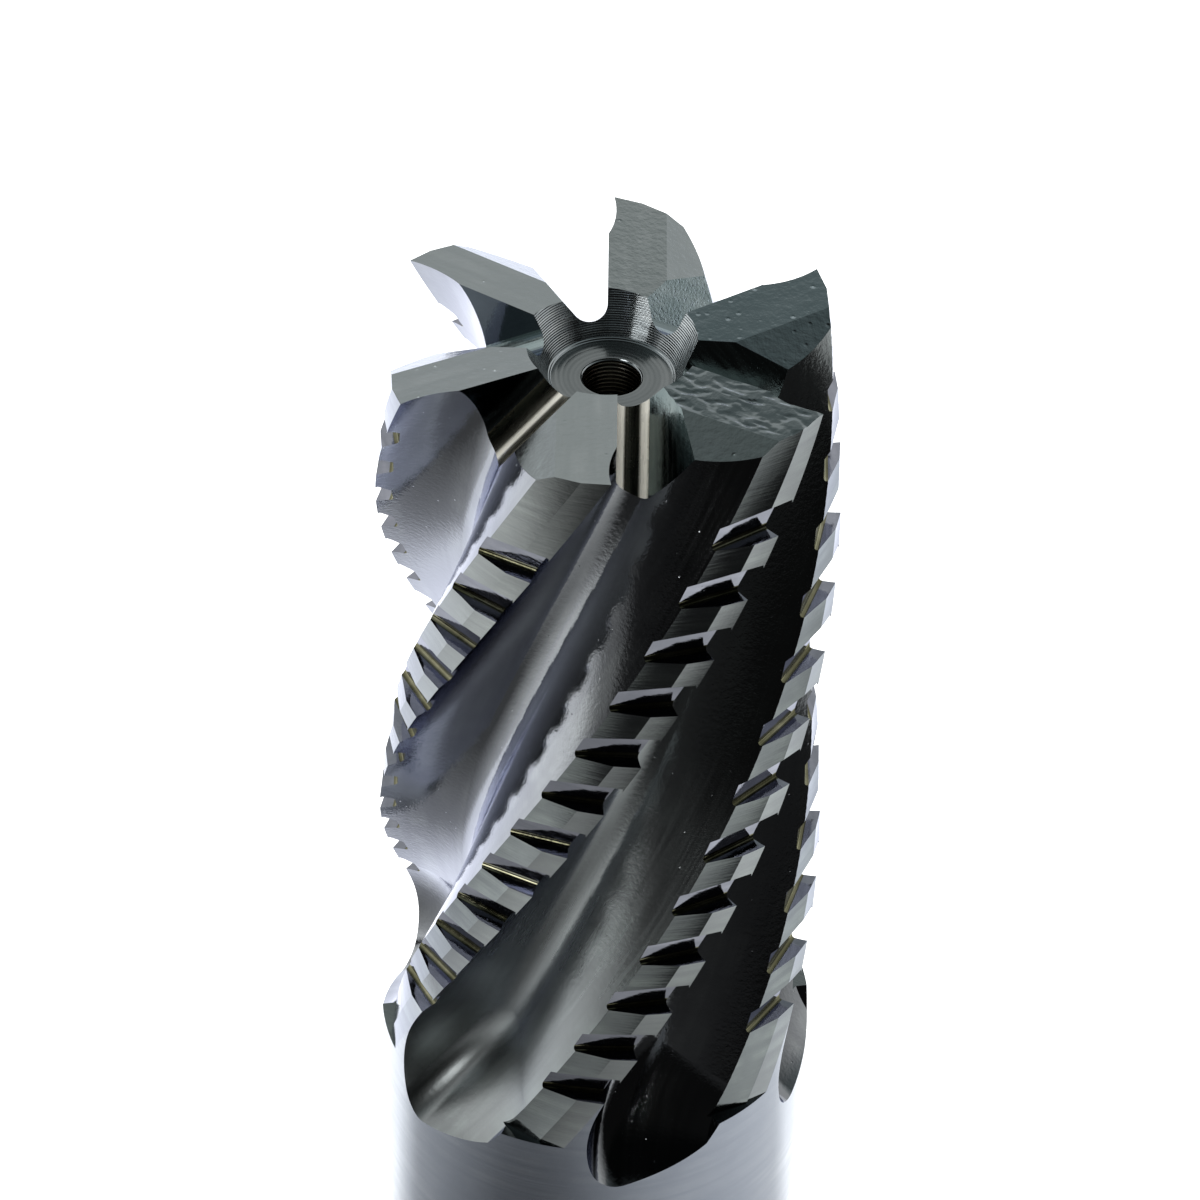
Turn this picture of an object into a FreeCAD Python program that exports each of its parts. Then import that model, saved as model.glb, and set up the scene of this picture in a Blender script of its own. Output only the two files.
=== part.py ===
import FreeCAD, Part
import math
import os
import Sketcher

# Roughing end mill, one piece of high speed steel.
# It stands on its shank: the origin is the middle of the shank's end face, +Z runs to the cutting end.
# Tooth 1 has its tip on +Y, and the other teeth follow clockwise as seen from the cutting end.

UP = FreeCAD.Vector(0, 0, 1)
ACROSS = FreeCAD.Vector(1, 0, 0)
AXIS_FOOT = FreeCAD.Vector(0, 0, 0)

doc = FreeCAD.newDocument("roughing_end_mill")

sheet = doc.addObject("Spreadsheet::Sheet", "sizes")
driving_sizes = [
    ("overall_length", 133.0, "end face of the shank to the tips of the teeth"),
    ("shank_diameter", 32.0, "plain cylindrical shank"),
    ("shank_length", 60.0, "stretch that the chuck may grip"),
    ("shank_chamfer", 1.0, "bevel round the shank's end"),
    ("cutter_diameter", 32.0, "circle through the cutting edges"),
    ("grinding_stock", 0.02, "radius left on the blank outside the cutting edges"),
    ("neck_taper_length", 1.0, "cone that joins the shank to the fluted head"),
    ("tooth_count", 6, "teeth and flutes"),
    ("helix_angle", 30.0, "slope of the cutting edges to the axis, right hand"),
    ("radial_rake", 10.0, "hook of the rake face at the cutting edge"),
    ("hook_radius", 7.7, "hollow of the rake face"),
    ("root_radius", 2.4, "bottom of the flute"),
    ("core_diameter", 19.0, "circle that the flute bottoms touch"),
    ("back_radius", 18.0, "rounding of the tooth's back"),
    ("strip_sag", 0.03, "most that the flute's narrow flat strips leave its rounded section"),
    ("primary_width", 1.84, "first strip of the land behind the edge"),
    ("primary_relief", 12.0, "fall of the first strip"),
    ("land_width", 4.26, "whole land behind the edge"),
    ("secondary_relief", 27.0, "fall of the second strip"),
    ("land_length", 61.9, "tips to the end of the ground land"),
    ("full_flute_length", 57.0, "tips to where the flute bottom starts to rise"),
    ("runout_radius", 12.4, "wheel radius that the flute runs out on"),
    ("breaker_pitch", 4.24, "chip breakers along one tooth"),
    ("breaker_stagger", 3, "teeth after which the chip breakers lie at the same depths again"),
    ("breaker_depth", 1.15, "depth at the cutting edge"),
    ("breaker_root", 1.45, "flat length of the groove's root"),
    ("breaker_slope", 1.05, "length of the slanting flank"),
    ("breaker_undercut", 0.07, "lean of the steep flank"),
    ("breaker_relief", 11.0, "fall of the groove's root behind the edge"),
    ("first_breaker", 6.24, "tips to the first crest below a groove"),
    ("last_breaker", 57.5, "no crest starts below this depth"),
    ("end_land_width", 3.65, "first strip of the end face behind the edge"),
    ("end_relief", 6.0, "fall of the first strip of the end face"),
    ("end_secondary_relief", 30.0, "fall of the rest of the end face"),
    ("end_dish", 2.6, "fall of the end edges towards the middle"),
    ("edge_lead", 0.35, "end edges lie this far ahead of the middle"),
    ("gash_radius", 1.25, "rounded bottom of the gash"),
    ("gash_angle", 36.0, "slope of the gash's bottom, outwards and down"),
    ("gash_wall_angle", 47.0, "slope of the gash's far wall"),
    ("gash_start_depth", 1.2, "depth of the gash's bottom at its inner end"),
    ("gash_start", 3.0, "distance of the gash's inner end from the axis"),
    ("recess_rim_diameter", 12.4, "turned recess in the cutting end, at the tips"),
    ("recess_floor_diameter", 8.4, "turned recess, at its floor"),
    ("recess_depth", 3.5, "tips to the recess floor"),
    ("bore_diameter", 4.0, "centre hole in the recess floor"),
    ("bore_depth", 6.0, "recess floor to the bottom of that hole"),
    ("rear_centre_diameter", 6.0, "mouth of the centre hole in the shank's end"),
    ("rear_centre_angle", 60.0, "cone of that centre hole"),
    ("rear_pilot_diameter", 2.5, "its pilot"),
    ("rear_pilot_depth", 5.5, "end face to the bottom of the pilot"),
]
for row, (alias, value, note) in enumerate(driving_sizes, start=1):
    sheet.set("A%d" % row, alias)
    sheet.set("B%d" % row, str(value))
    sheet.set("C%d" % row, note)
    sheet.setAlias("B%d" % row, alias)
doc.recompute()


def size(alias):
    return float(getattr(sheet, alias))


def slope(alias):
    return math.tan(math.radians(size(alias)))


tip_height = size("overall_length")
cutting_radius = size("cutter_diameter") / 2
head_radius = cutting_radius + size("grinding_stock")
tooth_count = int(size("tooth_count"))
tooth_step = 360.0 / tooth_count
lead = 2 * math.pi * cutting_radius / slope("helix_angle")
turn_per_mm = 360.0 / lead
# Each cutter reaches this far past the steel that it removes, along the steel and outside it.
clear = 1.0
outer_clear = 2.0
outer_radius = head_radius + outer_clear


def polar(radius, degrees):
    angle = math.radians(degrees)
    return FreeCAD.Vector(radius * math.cos(angle), radius * math.sin(angle), 0)


def circles_meet(centre_a, radius_a, centre_b, radius_b, side):
    """Point where two circles cross, on the left (+1) or right (-1) of the line from a to b."""
    span = centre_b - centre_a
    reach = span.Length
    along = (radius_a ** 2 - radius_b ** 2 + reach ** 2) / (2 * reach)
    across = math.sqrt(radius_a ** 2 - along ** 2)
    unit = span / reach
    normal = FreeCAD.Vector(-unit.y, unit.x, 0)
    return centre_a + unit * along + normal * (across * side)


def towards(start, goal, distance):
    return start + (goal - start).normalize() * distance


def line(start, end):
    return Part.LineSegment(start, end).toShape()


def arc(centre, start, end):
    """Shorter arc about a centre from one point to another."""
    middle = towards(centre, (start + end) / 2, (start - centre).Length)
    return Part.Arc(start, middle, end).toShape()


def strips(centre, start, end):
    """Short chords that follow the arc about a centre, so close that their sag is the one allowed."""
    radius = (start - centre).Length
    turn = math.degrees((start - centre).getAngle(end - centre))
    one_turn = math.degrees(2 * math.acos(1 - size("strip_sag") / radius))
    count = math.ceil(turn / one_turn)
    way_round = math.copysign(turn / count, (start - centre).cross(end - centre).z)
    corners = [start]
    for number in range(1, count):
        corners.append(centre + turned_point(start - centre, way_round * number))
    corners.append(end)
    return [line(corners[number], corners[number + 1]) for number in range(count)]


def turned_point(point, degrees):
    return FreeCAD.Rotation(UP, degrees).multVec(point)


def turned(shape, degrees):
    copy = shape.copy()
    copy.rotate(AXIS_FOOT, UP, degrees)
    return copy


def for_every_tooth(cutter):
    return Part.makeCompound([turned(cutter, -tooth_step * tooth) for tooth in range(tooth_count)])


def helical_cutter(section, length):
    """Sweeps a cross-section, drawn at the tips, up the helix from a depth to just above the tips."""
    spine = Part.makeHelix(lead, length + clear, cutting_radius)
    sweep = Part.BRepOffsetAPI.MakePipeShell(Part.Wire(spine.Edges))
    sweep.setFrenetMode(True)
    sweep.add(turned(section, -turn_per_mm * length))
    sweep.build()
    sweep.makeSolid()
    cutter = sweep.shape()
    cutter.translate(UP * (tip_height - length))
    return cutter


# Turned blank: shank, head, recess in the cutting end and a centre hole in each end.
blank = doc.addObject("PartDesign::Body", "turned_blank")
profile = blank.newObject("Sketcher::SketchObject", "blank_profile")
front_plane = [plane for plane in blank.Origin.OriginFeatures if plane.Role == "XZ_Plane"][0]
profile.AttachmentSupport = [(front_plane, "")]
profile.MapMode = "FlatFace"
doc.recompute()

head_top = "sizes.overall_length + sizes.grinding_stock"
recess_floor = "sizes.overall_length - sizes.recess_depth"
centre_step = "(sizes.rear_centre_diameter - sizes.rear_pilot_diameter) / 2"
centre_cone = centre_step + " / tan(sizes.rear_centre_angle / 2)"
blank_corners = [
    ("0", "sizes.rear_pilot_depth"),
    ("sizes.rear_pilot_diameter / 2", "sizes.rear_pilot_depth"),
    ("sizes.rear_pilot_diameter / 2", centre_cone),
    ("sizes.rear_centre_diameter / 2", "0"),
    ("sizes.shank_diameter / 2 - sizes.shank_chamfer", "0"),
    ("sizes.shank_diameter / 2", "sizes.shank_chamfer"),
    ("sizes.shank_diameter / 2", "sizes.shank_length"),
    ("sizes.cutter_diameter / 2 + sizes.grinding_stock", "sizes.shank_length + sizes.neck_taper_length"),
    ("sizes.cutter_diameter / 2 + sizes.grinding_stock", head_top),
    ("sizes.recess_rim_diameter / 2", head_top),
    ("sizes.recess_floor_diameter / 2", recess_floor),
    ("sizes.bore_diameter / 2", recess_floor),
    ("sizes.bore_diameter / 2", recess_floor + " - sizes.bore_depth"),
    ("0", recess_floor + " - sizes.bore_depth"),
]
corner_points = []
for across, along in blank_corners:
    across_value = float(profile.evalExpression(across))
    along_value = float(profile.evalExpression(along))
    corner_points.append(FreeCAD.Vector(across_value, along_value, 0))
corner_count = len(corner_points)
for number in range(corner_count):
    following = corner_points[(number + 1) % corner_count]
    profile.addGeometry(Part.LineSegment(corner_points[number], following), False)
for number in range(corner_count):
    profile.addConstraint(Sketcher.Constraint("Coincident", number, 2, (number + 1) % corner_count, 1))
HORIZONTAL_AXIS = -1
VERTICAL_AXIS = -2
for number, (across, along) in enumerate(blank_corners):
    point = corner_points[number]
    if across == "0":
        profile.addConstraint(Sketcher.Constraint("PointOnObject", number, 1, VERTICAL_AXIS))
    else:
        held = profile.addConstraint(Sketcher.Constraint("DistanceX", -1, 1, number, 1, point.x))
        profile.setExpression("Constraints[%d]" % held, across)
    if along == "0":
        profile.addConstraint(Sketcher.Constraint("PointOnObject", number, 1, HORIZONTAL_AXIS))
    else:
        held = profile.addConstraint(Sketcher.Constraint("DistanceY", -1, 1, number, 1, point.y))
        profile.setExpression("Constraints[%d]" % held, along)
turning = blank.newObject("PartDesign::Revolution", "turning")
turning.Profile = profile
turning.ReferenceAxis = (profile, ["V_Axis"])
turning.Angle = 360
blank.Tip = turning
doc.recompute()

# Land: two ground strips fall away behind each cutting edge.
tip = FreeCAD.Vector(0, cutting_radius, 0)
primary_drop = size("primary_width") * slope("primary_relief")
heel_drop = primary_drop + (size("land_width") - size("primary_width")) * slope("secondary_relief")
strip_edge = FreeCAD.Vector(size("primary_width"), cutting_radius - primary_drop, 0)
heel = FreeCAD.Vector(size("land_width"), cutting_radius - heel_drop, 0)
ahead_of_edge = tip + FreeCAD.Vector(-clear, clear * slope("primary_relief"), 0)
past_heel = heel + FreeCAD.Vector(clear, -clear * slope("secondary_relief"), 0)
relief_section = Part.makePolygon([
    ahead_of_edge,
    tip,
    strip_edge,
    past_heel,
    towards(AXIS_FOOT, past_heel, outer_radius),
    towards(AXIS_FOOT, ahead_of_edge, outer_radius),
    ahead_of_edge,
])
land_relief = doc.addObject("Part::Feature", "land_relief")
land_relief.Shape = for_every_tooth(helical_cutter(relief_section, size("land_length")))

# Flute: hollow rake face, rounded bottom and rounded back of the tooth before, in one cross-section.
rake = size("radial_rake")
hook_centre = tip + turned_point(FreeCAD.Vector(-size("hook_radius"), 0, 0), rake)
rake_end = tip + turned_point(FreeCAD.Vector(0, outer_clear, 0), rake)
core_radius = size("core_diameter") / 2
root_radius = size("root_radius")
root_reach = size("hook_radius") - root_radius
root_centre = circles_meet(AXIS_FOOT, core_radius + root_radius, hook_centre, root_reach, -1)
hook_end = towards(hook_centre, root_centre, size("hook_radius"))
heel_before = turned_point(heel, tooth_step)
back_reach = size("back_radius") + root_radius
back_centre = circles_meet(root_centre, back_reach, heel_before, size("back_radius"), 1)
root_end = towards(root_centre, back_centre, root_radius)
heel_outside = towards(AXIS_FOOT, heel_before, outer_radius)
rake_outside = towards(AXIS_FOOT, rake_end, outer_radius)
flute_section = Part.Wire([
    line(rake_outside, tip),
    *strips(hook_centre, tip, hook_end),
    *strips(root_centre, hook_end, root_end),
    *strips(back_centre, root_end, heel_before),
    line(heel_before, heel_outside),
    arc(AXIS_FOOT, heel_outside, rake_outside),
])

# The flute runs out on the curve of its grinding wheel, which stands square to the helix.
full_length = size("full_flute_length")
flute_end = UP * (tip_height - full_length)
flute_middle = 90 + math.degrees(math.atan2(-heel_before.x, heel_before.y)) / 2
outwards = polar(1, flute_middle - turn_per_mm * full_length)
along_flute = FreeCAD.Rotation(outwards, -size("helix_angle")).multVec(UP)
flute_sweep = helical_cutter(flute_section, full_length + outer_radius * slope("helix_angle"))
block = 4 * outer_radius
below_end = Part.makeBox(block, block, block, FreeCAD.Vector(-block / 2, -block / 2, -block))
below_end.Placement = FreeCAD.Placement(flute_end, FreeCAD.Rotation(UP, along_flute))
end_wire = flute_sweep.slice(along_flute, along_flute.dot(flute_end))[0]
wheel_centre = flute_end + outwards * (core_radius + size("runout_radius"))
wheel_axis = outwards.cross(along_flute)
# Far enough round for the wheel to have left the steel.
runout_turn = 75
runout = Part.Face(end_wire).revolve(wheel_centre, wheel_axis, runout_turn)
flutes = doc.addObject("Part::Feature", "flutes")
flutes.Shape = for_every_tooth(flute_sweep.cut(below_end).fuse(runout))

# Chip breakers: straight grooves across the land, shallower towards the heel.
groove_height = size("breaker_depth") + outer_clear
steep_lean = size("breaker_undercut") / size("breaker_depth")
slant_lean = size("breaker_slope") / size("breaker_depth")
steep_foot = size("breaker_undercut")
slant_foot = steep_foot + size("breaker_root")
groove_section = Part.Face(Part.makePolygon([
    FreeCAD.Vector(0, 0, steep_foot),
    FreeCAD.Vector(0, groove_height, steep_foot - groove_height * steep_lean),
    FreeCAD.Vector(0, groove_height, slant_foot + groove_height * slant_lean),
    FreeCAD.Vector(0, 0, slant_foot),
    FreeCAD.Vector(0, 0, steep_foot),
]))
groove = groove_section.extrude(ACROSS * (size("land_width") + 2 * clear))
groove.translate(ACROSS * -clear)
groove.rotate(AXIS_FOOT, UP, -size("breaker_relief"))
groove.translate(FreeCAD.Vector(0, cutting_radius - size("breaker_depth"), 0))


def breaker(crest):
    """Groove whose steep flank meets the edge at this depth below the tips, turned to the edge there."""
    copy = turned(groove, -turn_per_mm * (crest - slant_foot / 2))
    copy.translate(UP * (tip_height - crest))
    return copy


# Each tooth's grooves lie a part of the pitch below those of the tooth before, from the second tooth on.
stagger = int(size("breaker_stagger"))
highest_tooth = 1
breaker_cuts = []
for tooth in range(tooth_count):
    depth = size("first_breaker") + (tooth - highest_tooth) % stagger * size("breaker_pitch") / stagger
    while depth < size("last_breaker"):
        breaker_cuts.append(turned(breaker(depth), -tooth_step * tooth))
        depth += size("breaker_pitch")
chip_breakers = doc.addObject("Part::Feature", "chip_breakers")
chip_breakers.Shape = Part.makeCompound(breaker_cuts)

# End face: two strips behind each end edge, dished towards the middle.
edge_line = -size("edge_lead")
start_line = edge_line - clear
end_strip_drop = size("end_land_width") * slope("end_relief")
reach = 2 * outer_radius
end_fall = end_strip_drop + (reach - size("end_land_width")) * slope("end_secondary_relief")
end_profile = Part.makePolygon([
    FreeCAD.Vector(start_line, 0, -start_line * slope("end_relief")),
    FreeCAD.Vector(size("end_land_width"), 0, -end_strip_drop),
    FreeCAD.Vector(reach, 0, -end_fall),
    FreeCAD.Vector(reach, 0, outer_clear),
    FreeCAD.Vector(start_line, 0, outer_clear),
    FreeCAD.Vector(start_line, 0, -start_line * slope("end_relief")),
])
end_grind = Part.Face(end_profile).extrude(FreeCAD.Vector(0, reach, 0))
end_grind.rotate(tip, ACROSS, size("end_dish"))
# The grind of one tooth stops short of where that of the next one starts.
next_edge = turned_point(FreeCAD.Vector(0, 1, 0), -tooth_step)
next_start = turned_point(FreeCAD.Vector(start_line - clear / 2, 0, 0), -tooth_step)
corner_along = (next_start.dot(next_start) - start_line * next_start.x) / next_start.y
wedge_corner = FreeCAD.Vector(start_line, corner_along, 0)
wedge = Part.Face(Part.makePolygon([
    wedge_corner,
    wedge_corner + next_edge * reach,
    FreeCAD.Vector(start_line, 2 * reach, 0),
    wedge_corner,
])).extrude(UP * (2 * reach))
wedge.translate(UP * -reach)
end_grind = end_grind.common(wedge)
end_grind.translate(UP * tip_height)
end_relief = doc.addObject("Part::Feature", "end_relief")
end_relief.Shape = for_every_tooth(end_grind)

# Gash: a round-bottomed slot beside each end edge, from the recess out and down into the flute.
gash_radius = size("gash_radius")
wall_angle = size("gash_wall_angle")
gash_height = cutting_radius
bottom_centre = FreeCAD.Vector(edge_line - gash_radius, 0, gash_radius)
edge_foot = FreeCAD.Vector(edge_line, 0, gash_radius)
edge_top = FreeCAD.Vector(edge_line, 0, gash_height)
wall_foot = bottom_centre + FreeCAD.Rotation(FreeCAD.Vector(0, 1, 0), wall_angle).multVec(UP * -gash_radius)
wall_rise = gash_height - wall_foot.z
wall_top = wall_foot + FreeCAD.Vector(-wall_rise / slope("gash_wall_angle"), 0, wall_rise)
gash_section = Part.Face(Part.Wire([
    line(edge_top, edge_foot),
    arc(bottom_centre, edge_foot, wall_foot),
    line(wall_foot, wall_top),
    line(wall_top, edge_top),
]))
gash_cutter = gash_section.extrude(FreeCAD.Vector(0, reach, 0))
gash_cutter.rotate(AXIS_FOOT, ACROSS, -size("gash_angle"))
gash_cutter.translate(FreeCAD.Vector(0, size("gash_start"), tip_height - size("gash_start_depth")))
gashes = doc.addObject("Part::Feature", "gashes")
gashes.Shape = for_every_tooth(gash_cutter)

# The cuts follow the order of the work: flutes, land, end face, gashes, chip breakers.
steel = blank
for name, cuts in [
    ("fluted", flutes),
    ("ground", land_relief),
    ("faced", end_relief),
    ("gashed", gashes),
    ("end_mill", chip_breakers),
]:
    cut = doc.addObject("Part::Cut", name)
    cut.Base = steel
    cut.Tool = cuts
    doc.recompute()
    steel = cut
steel.Label = "end_mill"

for item in doc.Objects:
    if "Invalid" in item.State or "Error" in item.State:
        raise RuntimeError("%s could not be built" % item.Name)
if steel.Shape.isNull() or not steel.Shape.isValid() or len(steel.Shape.Solids) != 1:
    raise RuntimeError("the end mill is not one valid solid")
os.makedirs("parts", exist_ok=True)
steel.Shape.exportStep("parts/%s.step" % steel.Label)
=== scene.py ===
import math

import bpy
import numpy as np
from mathutils import Matrix, Vector, noise


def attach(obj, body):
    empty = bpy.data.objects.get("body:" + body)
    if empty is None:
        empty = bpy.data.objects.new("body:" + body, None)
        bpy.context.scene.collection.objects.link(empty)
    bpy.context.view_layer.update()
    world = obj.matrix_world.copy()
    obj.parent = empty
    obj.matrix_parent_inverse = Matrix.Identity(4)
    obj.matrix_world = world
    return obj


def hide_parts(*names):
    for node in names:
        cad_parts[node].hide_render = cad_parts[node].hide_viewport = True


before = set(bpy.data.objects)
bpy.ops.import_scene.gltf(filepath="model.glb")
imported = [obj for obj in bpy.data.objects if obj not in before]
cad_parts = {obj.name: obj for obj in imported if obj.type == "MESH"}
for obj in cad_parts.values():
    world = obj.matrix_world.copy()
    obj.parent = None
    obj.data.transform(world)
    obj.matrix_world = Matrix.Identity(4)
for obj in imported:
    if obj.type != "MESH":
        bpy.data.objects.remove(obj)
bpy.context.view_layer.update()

# Blank. The end mill is one piece of high speed steel. It starts as a turned bar with a bevelled shank
# end, a centre hole at each end and a cupped recess in the cutting end. Sizes are in millimetres,
# and each outline point carries the name of the surface that follows it.
mm = 0.001
tip_height = 133.0
cutting_radius = 16.0
# the head is turned a little too large, so that every tooth is ground out of it
oversize = 0.02
blank_top = tip_height + oversize
head_radius = cutting_radius + oversize
shank_radius = 16.0
shank_length = 60.0
shank_bevel = 1.0
centre_radius = 1.25
centre_depth = 5.5
centre_cone_depth = 3.03
centre_mouth = 3.0
recess_mouth = 6.2
recess_radius = 4.08
recess_rounding = 0.40
recess_floor = tip_height - 3.5
bore_radius = 2.0
bore_bottom = recess_floor - 6.0
broken_edge = 0.12
around = 240
surface_names = []


def surface(name):
    """Number of a kind of surface, the same in every cutter, so that a cut leaves its finish behind."""
    if name not in surface_names:
        surface_names.append(name)
    return surface_names.index(name)


def solid(name, points, faces, kinds):
    """Closed mesh from points in millimetres, faces of any length and a surface number for each face."""
    points = np.asarray(points, float)
    volume = 0.0
    for face in faces:
        first = points[face[0]]
        for second, third in zip(face[1:-1], face[2:]):
            volume += np.dot(first, np.cross(points[second], points[third]))
    if volume < 0:
        faces = [face[::-1] for face in faces]
    mesh = bpy.data.meshes.new(name)
    mesh.from_pydata((points * mm).tolist(), [], [list(face) for face in faces])
    mesh.polygons.foreach_set("material_index", np.asarray(kinds, dtype=np.int32))
    piece = bpy.data.objects.new(name, mesh)
    bpy.context.scene.collection.objects.link(piece)
    return piece


def revolved(name, outline):
    """Turned solid whose outline of (radius, height, surface) runs from the axis back to the axis."""
    points, rings = [], []
    for radius, height, _ in outline:
        start = len(points)
        count = around if radius > 0 else 1
        for step in range(count):
            angle = 2 * math.pi * step / around
            points.append((radius * math.cos(angle), radius * math.sin(angle), height))
        rings.append((start, count))
    faces, kinds = [], []
    for (low, low_count), (high, high_count), corner in zip(rings, rings[1:], outline):
        for step in range(around):
            following = (step + 1) % around
            if low_count == 1:
                face = (low, high + following, high + step)
            elif high_count == 1:
                face = (low + step, low + following, high)
            else:
                face = (low + step, low + following, high + following, high + step)
            faces.append(face)
            kinds.append(surface(corner[2]))
    return solid(name, points, faces, kinds)


steel = revolved("end_mill_steel", [
    (0.0, centre_depth, "centre hole"),
    (centre_radius, centre_depth, "centre hole"),
    (centre_radius, centre_cone_depth, "centre hole"),
    (centre_mouth, 0.0, "shank end"),
    (shank_radius - shank_bevel, 0.0, "shank bevel"),
    (shank_radius, shank_bevel, "shank"),
    (shank_radius, shank_length, "shank"),
    (head_radius, shank_length + 1.0, "shank"),
    (head_radius, blank_top, "shank end"),
    (recess_mouth, blank_top, "recess cone"),
    (recess_radius + 0.85 * recess_rounding, recess_floor + recess_rounding, "recess rim"),
    (recess_radius + 0.55 * recess_rounding, recess_floor + 0.4 * recess_rounding, "recess rim"),
    (recess_radius, recess_floor, "recess floor"),
    (bore_radius + broken_edge, recess_floor, "recess rim"),
    (bore_radius, recess_floor - broken_edge, "bore"),
    (bore_radius, bore_bottom, "bore"),
    (0.0, bore_bottom, "bore"),
])

# Flutes. Six right-hand helical flutes are ground with a wheel: a hollow rake face, a round bottom and a
# rounded back up to the heel of the tooth before. At the lower end the wheel lifts out on its own curve.
tooth_count = 6
tooth_step = math.radians(60)
helix_angle = math.radians(30)
turn_per_mm = math.tan(helix_angle) / cutting_radius
tip = np.array([0.0, cutting_radius])
heel = np.array([4.26, 14.3759])
hook_radius = 7.7
root_radius = 2.4
back_radius = 18.0
core_radius = 9.5
outer_radius = 18.0
rake = math.radians(10)
# how far a cutter reaches past what it cuts
clear = 1.0


def turned(points, angle):
    """Points turned about the tool's axis, in radians, anticlockwise as seen from the cutting end."""
    points = np.asarray(points, float).copy()
    across = points[..., 0] * np.cos(angle) - points[..., 1] * np.sin(angle)
    along = points[..., 0] * np.sin(angle) + points[..., 1] * np.cos(angle)
    points[..., 0], points[..., 1] = across, along
    return points


def circles_meet(centre_a, radius_a, centre_b, radius_b, side):
    """Where two circles meet, on one side (1 or -1) of the line from the first centre to the second."""
    span = centre_b - centre_a
    reach = np.linalg.norm(span)
    along = (radius_a ** 2 - radius_b ** 2 + reach ** 2) / (2 * reach)
    across = math.sqrt(radius_a ** 2 - along ** 2)
    unit = span / reach
    return centre_a + unit * along + np.array([-unit[1], unit[0]]) * across * side


def arc(centre, start, end, steps):
    """Points of the shorter arc about a centre, without its last one."""
    first = math.atan2(*(start - centre)[::-1])
    last = math.atan2(*(end - centre)[::-1])
    turn = (last - first + math.pi) % (2 * math.pi) - math.pi
    angles = first + turn * np.arange(steps) / steps
    return centre + np.linalg.norm(start - centre) * np.stack([np.cos(angles), np.sin(angles)], -1)


def outside(point):
    """Point beyond the blank, in the same direction from the axis."""
    return point / np.linalg.norm(point) * outer_radius


hook_centre = tip - np.array([math.cos(rake), math.sin(rake)]) * hook_radius
root_centre = circles_meet(np.zeros(2), core_radius + root_radius, hook_centre, hook_radius - root_radius, -1)
hook_end = hook_centre + (root_centre - hook_centre) / np.linalg.norm(root_centre - hook_centre) * hook_radius
heel_before = turned(heel, tooth_step)
back_centre = circles_meet(root_centre, back_radius + root_radius, heel_before, back_radius, 1)
root_end = root_centre + (back_centre - root_centre) / np.linalg.norm(back_centre - root_centre) * root_radius
rake_outside = outside(tip + np.array([-math.sin(rake), math.cos(rake)]) * 2 * clear)
flute_outline = []
flute_kinds = []
for points, name in [
    ([rake_outside], "blank"),
    (arc(hook_centre, tip, hook_end, steps=16), "hook"),
    (arc(root_centre, hook_end, root_end, steps=12), "root"),
    (arc(back_centre, root_end, heel_before, steps=12), "back"),
    ([heel_before], "blank"),
    (arc(np.zeros(2), outside(heel_before), rake_outside, steps=8), "blank"),
]:
    flute_outline.extend(points)
    flute_kinds.extend([name] * len(points))
flute_outline = np.array(flute_outline)

full_length = 57.0
runout_radius = 12.4
runout_turn = math.radians(75)
flute_end = np.array([0.0, 0.0, tip_height - full_length])
flute_middle = math.pi / 2 + math.atan2(-heel_before[0], heel_before[1]) / 2
outwards = np.array([*turned([1.0, 0.0], flute_middle - turn_per_mm * full_length), 0.0])
sideways = np.cross([0.0, 0.0, 1.0], outwards)
along_flute = sideways * math.sin(helix_angle) + np.array([0.0, 0.0, math.cos(helix_angle)])
wheel_centre = flute_end + outwards * (core_radius + runout_radius)
wheel_axis = np.cross(outwards, along_flute)


def on_helix(outline, heights):
    """Points of a cross-section, drawn at the tips, carried down the helix to the given heights."""
    angles = (heights - tip_height) * turn_per_mm
    return np.concatenate([turned(outline, angles), np.broadcast_to(heights, angles.shape)[..., None]], -1)


def about_wheel(points, angle):
    """Points turned about the grinding wheel's axis, by Rodrigues' formula."""
    arm = points - wheel_centre
    angle = np.asarray(angle)[..., None]
    lengthwise = (arm @ wheel_axis)[..., None] * wheel_axis
    return (
        wheel_centre + arm * np.cos(angle) + np.cross(wheel_axis, arm) * np.sin(angle)
        + lengthwise * (1 - np.cos(angle))
    )


def tube(name, rows, row_kinds):
    """Closed cutter from rows of points, each a closed outline, with a surface name for every face."""
    rows = np.asarray(rows)
    count, width = rows.shape[:2]
    faces, kinds = [], []
    for row in range(count - 1):
        for column in range(width):
            following = (column + 1) % width
            low, high = row * width, (row + 1) * width
            faces.append((low + column, low + following, high + following, high + column))
            kinds.append(surface(row_kinds[row][column]))
    faces.append(tuple(range(width))[::-1])
    faces.append(tuple(range((count - 1) * width, count * width)))
    kinds += [surface("land end"), surface("land end")]
    return solid(name, rows.reshape(-1, 3), faces, kinds)


# the last row before the wheel lifts lies across the flute: 30 rounds settle the height of each point
end_heights = np.full(len(flute_outline), flute_end[2])
for _ in range(30):
    placed = on_helix(flute_outline, end_heights)
    end_heights = flute_end[2] - (placed[:, :2] @ along_flute[:2]) / along_flute[2]
level_length = 52.0
level_steps = 84
slanting_steps = 12
wheel_steps = 26
level_end = tip_height - level_length
heights = np.linspace(tip_height + clear, level_end, level_steps + 1)
flute_rows = []
flute_row_kinds = []
for height in heights:
    flute_rows.append(on_helix(flute_outline, np.full(len(flute_outline), height)))
    flute_row_kinds.append(flute_kinds)
for step in range(1, slanting_steps):
    share = step / slanting_steps
    flute_rows.append(on_helix(flute_outline, level_end * (1 - share) + end_heights * share))
    flute_row_kinds.append(flute_kinds)
last_row = on_helix(flute_outline, end_heights)
for step in range(wheel_steps + 1):
    flute_rows.append(about_wheel(last_row, np.full(len(last_row), runout_turn * step / wheel_steps)))
    flute_row_kinds.append(["runout " + kind for kind in flute_kinds])

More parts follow.
